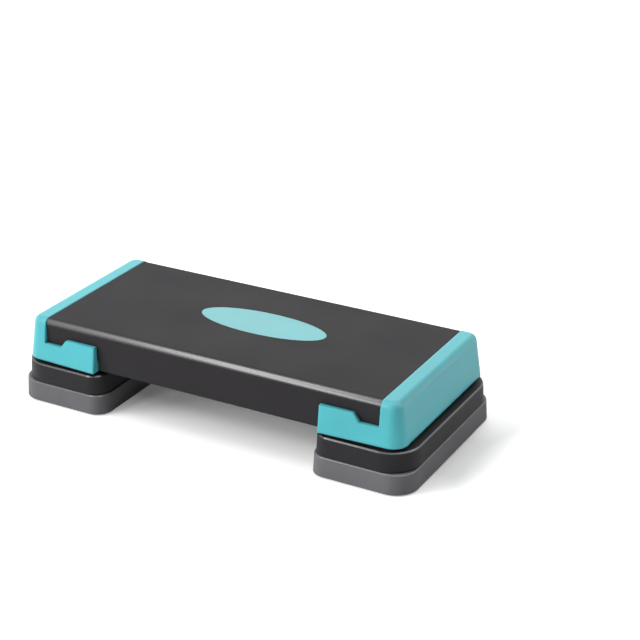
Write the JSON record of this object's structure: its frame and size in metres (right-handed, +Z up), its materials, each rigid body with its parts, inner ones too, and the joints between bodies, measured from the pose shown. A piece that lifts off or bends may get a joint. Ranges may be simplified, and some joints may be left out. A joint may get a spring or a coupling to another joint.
{
  "type": "aerobic step platform",
  "caption": "Aerobic step: long ribbed deck with an oval inlay, screwed to end caps that stand on stacked, lift-off risers with rubber feet.",
  "frame": {"origin": "on the floor under the middle of the platform", "axes": "+X along the deck to its right-hand end, -Y towards the front, +Z up"},
  "size_m": [0.68, 0.308, 0.1375],
  "materials": {
    "deck_plastic": "fine moulded grain",
    "inlay_plastic": "satin",
    "cap_plastic": "satin moulded",
    "riser_plastic": "satin moulded",
    "base_plastic": "satin moulded",
    "foot_rubber": "matt",
    "screw_steel": "zinc plated"
  },
  "bodies": {
    "left_base": {"left_base_riser": "base_plastic", "left_base_riser_foot_front_inner": "foot_rubber", "left_base_riser_foot_front_outer": "foot_rubber", "left_base_riser_foot_back_inner": "foot_rubber", "left_base_riser_foot_back_outer": "foot_rubber"},
    "left_upper": {"left_upper_riser": "riser_plastic", "left_upper_riser_foot_front_inner": "foot_rubber", "left_upper_riser_foot_front_outer": "foot_rubber", "left_upper_riser_foot_back_inner": "foot_rubber", "left_upper_riser_foot_back_outer": "foot_rubber"},
    "platform": {"deck": "deck_plastic", "deck_inlay": "inlay_plastic", "left_end_cap": "cap_plastic", "left_cap_screws": "screw_steel", "left_end_cap_foot_front_inner": "foot_rubber", "left_end_cap_foot_front_outer": "foot_rubber", "left_end_cap_foot_back_inner": "foot_rubber", "left_end_cap_foot_back_outer": "foot_rubber", "right_end_cap": "cap_plastic", "right_cap_screws": "screw_steel", "right_end_cap_foot_front_inner": "foot_rubber", "right_end_cap_foot_front_outer": "foot_rubber", "right_end_cap_foot_back_inner": "foot_rubber", "right_end_cap_foot_back_outer": "foot_rubber"},
    "right_upper": {"right_upper_riser": "riser_plastic", "right_upper_riser_foot_front_inner": "foot_rubber", "right_upper_riser_foot_front_outer": "foot_rubber", "right_upper_riser_foot_back_inner": "foot_rubber", "right_upper_riser_foot_back_outer": "foot_rubber"},
    "right_base": {"right_base_riser": "base_plastic", "right_base_riser_foot_front_inner": "foot_rubber", "right_base_riser_foot_front_outer": "foot_rubber", "right_base_riser_foot_back_inner": "foot_rubber", "right_base_riser_foot_back_outer": "foot_rubber"}
  },
  "joints": [
    {"name": "left_upper_lift", "type": "slide", "parent": "left_base", "child": "left_upper", "axis": [0, 0, 1], "range_m": [0, 0.05]},
    {"name": "platform_lift", "type": "slide", "parent": "left_upper", "child": "platform", "axis": [0, 0, 1], "range_m": [0, 0.05]},
    {"name": "right_upper_release", "type": "slide", "parent": "platform", "child": "right_upper", "axis": [0, 0, -1], "range_m": [0, 0.05]},
    {"name": "right_base_release", "type": "slide", "parent": "right_upper", "child": "right_base", "axis": [0, 0, -1], "range_m": [0, 0.05]}
  ],
  "couplings": [
    {"joint": "right_upper_release", "follows": "platform_lift", "ratio": 1},
    {"joint": "right_base_release", "follows": "left_upper_lift", "ratio": 1}
  ]
}
